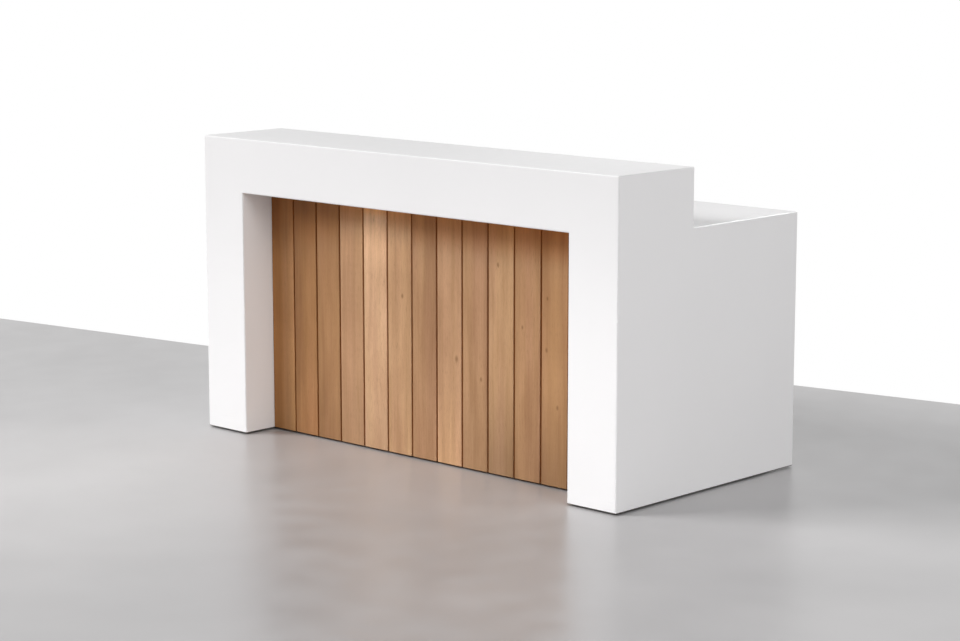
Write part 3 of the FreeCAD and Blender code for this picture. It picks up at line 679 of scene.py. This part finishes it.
def add_screw(bm, centre, facing, radius, height):
    """A screw head with a rounded rim and a cross recess that narrows towards its floor."""
    profile = ((radius, -SCREW_SINK), *((radius * share, height * level) for share, level in SCREW_RIM))
    side, other, rim = add_disc(bm, centre, facing, profile, capped=False)
    arm = CROSS_ARM * radius
    half = arm * math.tan(math.tau / DISC_SIDES)
    corners = []
    for quarter in range(4):
        turn = Matrix.Rotation(quarter * math.pi / 2, 2)
        corners += [turn @ Vector(corner) for corner in ((arm, half), (half, half), (half, arm))]
    loops = []
    for size, level in ((1.0, 1.0), CROSS_FLOOR):
        top = centre + facing * level * height
        places = [top + (side * corner.x + other * corner.y) * size for corner in corners]
        loops.append([bm.verts.new(place) for place in places])
    count = len(corners)
    for step in range(count):
        after = (step + 1) % count
        outer = [rim[(2 * step + offset) % DISC_SIDES] for offset in (1, 2, 3)]
        bm.faces.new((loops[0][step], *outer, loops[0][after]))
        bm.faces.new((loops[0][step], loops[0][after], loops[1][after], loops[1][step]))
    bm.faces.new(loops[1])


def add_block(bm, low, high, round_off):
    """A moulded block between two corners, with its edges rounded off."""
    low = Vector(low)
    high = Vector(high)
    place = Matrix.Translation((low + high) / 2) @ Matrix.Diagonal((*(high - low), 1.0))
    corners = bmesh.ops.create_cube(bm, size=1.0, matrix=place)["verts"]
    edges = list({edge for corner in corners for edge in corner.link_edges})
    bmesh.ops.bevel(bm, geom=edges, offset=round_off, segments=2, profile=0.5, affect="EDGES")


def make_piece(name, bm, body, slot, finishes):
    """A mesh piece that rides on a body and takes its finish from one of the record's slots."""
    bmesh.ops.recalc_face_normals(bm, faces=bm.faces)
    mesh = bpy.data.meshes.new(name)
    bm.to_mesh(mesh)
    bm.free()
    mesh.shade_smooth()
    mesh.set_sharp_from_angle(angle=SHARP_ANGLE)
    mesh.materials.append(finishes[slot])
    piece = bpy.data.objects.new(name, mesh)
    bpy.context.scene.collection.objects.link(piece)
    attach(piece, body)


def make_hinge_screws(finishes):
    """Countersunk screws in the hinge leaves, nearly flush so that the leaves still fold together."""
    sides = (
        ("left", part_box("left_gable")[1].x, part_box("left_door")[0].x, Vector((1, 0, 0))),
        ("right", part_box("left_divider")[0].x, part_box("right_door")[1].x, Vector((-1, 0, 0))),
    )
    for side, frame_face, door_edge, inward in sides:
        low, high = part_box(f"{side}_door")
        places = [
            (low.y + HINGE_SCREW_INSET, middle + step)
            for middle in (low.z + HINGE_INSET, high.z - HINGE_INSET)
            for step in (-HINGE_SCREW_STEP, HINGE_SCREW_STEP)
        ]
        leaves = (
            (f"{side}_frame_hinge_screws", frame_face, inward, "counter"),
            (f"{side}_door_hinge_screws", door_edge, -inward, f"{side}_cupboard_door"),
        )
        for name, face, facing, body in leaves:
            bm = bmesh.new()
            for y, z in places:
                centre = Vector((face, y, z)) + facing * HINGE_LEAF
                add_screw(bm, centre, facing, HINGE_SCREW_RADIUS, HINGE_SCREW_PROUD)
            make_piece(name, bm, body, "zinc_steel", finishes)


def make_drawer_screws(finishes):
    """Screws with washers that hold each drawer's front to its box, and the screws of its runners."""
    for drawer in DRAWERS:
        low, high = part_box(f"{drawer}_box")
        runner_low, runner_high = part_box(f"{drawer}_runners")
        bm = bmesh.new()
        inward = Vector((0, -1, 0))
        for x in (low.x + FRONT_SCREW_INSET, high.x - FRONT_SCREW_INSET):
            for share in FRONT_SCREW_HEIGHTS:
                centre = Vector((x, high.y - DRAWER_WALL, low.z + share * (high.z - low.z)))
                add_disc(bm, centre, inward, WASHER_PROFILE)
                add_screw(bm, centre + inward * WASHER_PROFILE[-1][1], inward, PAN_RADIUS, PAN_HEIGHT)
        make_piece(f"{drawer}_front_screws", bm, drawer, "zinc_steel", finishes)
        bm = bmesh.new()
        middle = 0.5 * (runner_low.z + runner_high.z)
        for x, facing in ((low.x, Vector((-1, 0, 0))), (high.x, Vector((1, 0, 0)))):
            for share in RUNNER_SCREW_PLACES:
                y = runner_low.y + share * (runner_high.y - runner_low.y)
                centre = Vector((x, y, middle)) + facing * RUNNER_WALL
                add_screw(bm, centre, facing, RUNNER_SCREW_RADIUS, RUNNER_SCREW_HEIGHT)
        make_piece(f"{drawer}_runner_screws", bm, drawer, "zinc_steel", finishes)


def make_door_catch(finishes):
    """A double magnetic catch on the base panel where the doors meet, and its strike plates on the doors."""
    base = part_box("base_panel")[1].z
    left_low, left_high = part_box("left_door")
    meeting = 0.5 * (left_high.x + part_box("right_door")[0].x)
    back = left_low.y
    front = back - STRIKE_THICKNESS - CATCH_GAP
    bm = bmesh.new()
    add_block(
        bm, (meeting - CATCH_WIDTH / 2, front - CATCH_DEPTH, base),
        (meeting + CATCH_WIDTH / 2, front - POLE_PROUD, base + CATCH_HEIGHT), CATCH_ROUND,
    )
    ear = CATCH_WIDTH / 2 + CATCH_EAR
    add_block(
        bm, (meeting - ear, front - CATCH_DEPTH, base),
        (meeting + ear, front - POLE_PROUD - CATCH_ROUND, base + CATCH_EAR_THICKNESS), CATCH_ROUND / 2,
    )
    make_piece("door_catch", bm, "counter", "black_plastic", finishes)
    bm = bmesh.new()
    for middle in (meeting - CATCH_WIDTH / 4, meeting + CATCH_WIDTH / 4):
        for level in POLE_LEVELS:
            add_block(
                bm, (middle - POLE_WIDTH / 2, front - CATCH_DEPTH / 2, base + level),
                (middle + POLE_WIDTH / 2, front, base + level + POLE_THICKNESS), POLE_THICKNESS / 4,
            )
    for x in (meeting - ear + CATCH_EAR / 2, meeting + ear - CATCH_EAR / 2):
        centre = Vector((x, front - CATCH_DEPTH / 2, base + CATCH_EAR_THICKNESS))
        add_screw(bm, centre, Vector((0, 0, 1)), HINGE_SCREW_RADIUS, PAN_HEIGHT / 2)
    make_piece("door_catch_poles", bm, "counter", "zinc_steel", finishes)
    for side, sign in (("left", -1.0), ("right", 1.0)):
        middle = meeting + sign * CATCH_WIDTH / 4
        bm = bmesh.new()
        add_block(
            bm, (middle - STRIKE_WIDTH / 2, back - STRIKE_THICKNESS, base + STRIKE_LEVEL),
            (middle + STRIKE_WIDTH / 2, back, base + STRIKE_LEVEL + STRIKE_HEIGHT), STRIKE_THICKNESS / 4,
        )
        make_piece(f"{side}_door_strike", bm, f"{side}_cupboard_door", "zinc_steel", finishes)


def make_floor():
    mesh = bpy.data.meshes.new("floor")
    corners = [(x, y, 0.0) for x, y in FLOOR_CORNERS]
    mesh.from_pydata(corners, [], [tuple(reversed(range(len(corners))))])
    floor = bpy.data.objects.new("floor", mesh)
    bpy.context.scene.collection.objects.link(floor)
    mesh.materials.append(floor_finish())
    return floor


def make_surround():
    """An even white surround, plain white where it is seen or mirrored."""
    world = bpy.data.worlds.new("studio")
    bpy.context.scene.world = world
    world.use_nodes = True
    tree = world.node_tree
    tree.nodes.clear()
    path = tree.nodes.new("ShaderNodeLightPath")
    seen = path.outputs["Is Camera Ray"]
    for ray in ("Is Glossy Ray", "Is Transmission Ray"):
        either = tree.nodes.new("ShaderNodeMath")
        either.operation = "MAXIMUM"
        tree.links.new(seen, either.inputs[0])
        tree.links.new(path.outputs[ray], either.inputs[1])
        seen = either.outputs[0]
    mix = tree.nodes.new("ShaderNodeMixShader")
    tree.links.new(seen, mix.inputs[0])
    for strength, socket in zip((SURROUND_LIGHT, SEEN_LIGHT), mix.inputs[1:]):
        white = tree.nodes.new("ShaderNodeBackground")
        white.inputs["Color"].default_value = (*PLAIN, 1.0)
        white.inputs["Strength"].default_value = strength
        tree.links.new(white.outputs[0], socket)
    output = tree.nodes.new("ShaderNodeOutputWorld")
    tree.links.new(mix.outputs[0], output.inputs["Surface"])


def make_lamps(floor):
    """Soft lamps that no gloss mirrors, and one that shows only as gloss and leaves the floor out."""
    for name, values in LAMPS.items():
        row = dict(zip(LAMP_FIELDS, values))
        lamp = bpy.data.lights.new(name, "AREA")
        lamp.shape = "RECTANGLE"
        lamp.size, lamp.size_y = row["size"]
        lamp.energy = row["power"]
        lamp.spread = row["beam"]
        made = bpy.data.objects.new(name, lamp)
        made.location = row["place"]
        made.rotation_euler = (Vector(row["aim"]) - made.location).to_track_quat("-Z", "Y").to_euler()
        made.visible_glossy = name == GLOSS_LAMP
        made.visible_diffuse = name != GLOSS_LAMP
        bpy.context.scene.collection.objects.link(made)
    unlit = bpy.data.collections.new("without_glint")
    unlit.objects.link(floor)
    unlit.collection_objects[0].light_linking.link_state = "EXCLUDE"
    bpy.data.objects[GLOSS_LAMP].light_linking.receiver_collection = unlit


def make_camera():
    data = bpy.data.cameras.new("camera")
    data.lens = CAMERA_LENS
    data.sensor_width = SENSOR_WIDTH
    camera = bpy.data.objects.new("camera", data)
    forward = Vector((
        -math.sin(CAMERA_YAW) * math.cos(CAMERA_PITCH),
        math.cos(CAMERA_YAW) * math.cos(CAMERA_PITCH),
        -math.sin(CAMERA_PITCH),
    ))
    camera.location = CAMERA_PLACE
    camera.rotation_euler = forward.to_track_quat("-Z", "Y").to_euler()
    bpy.context.scene.collection.objects.link(camera)
    bpy.context.scene.camera = camera


slot_finishes = dress_nodes()
make_hinge_screws(slot_finishes)
make_drawer_screws(slot_finishes)
make_door_catch(slot_finishes)
make_surround()
make_lamps(make_floor())
make_camera()
bpy.context.scene.view_settings.view_transform = "Standard"
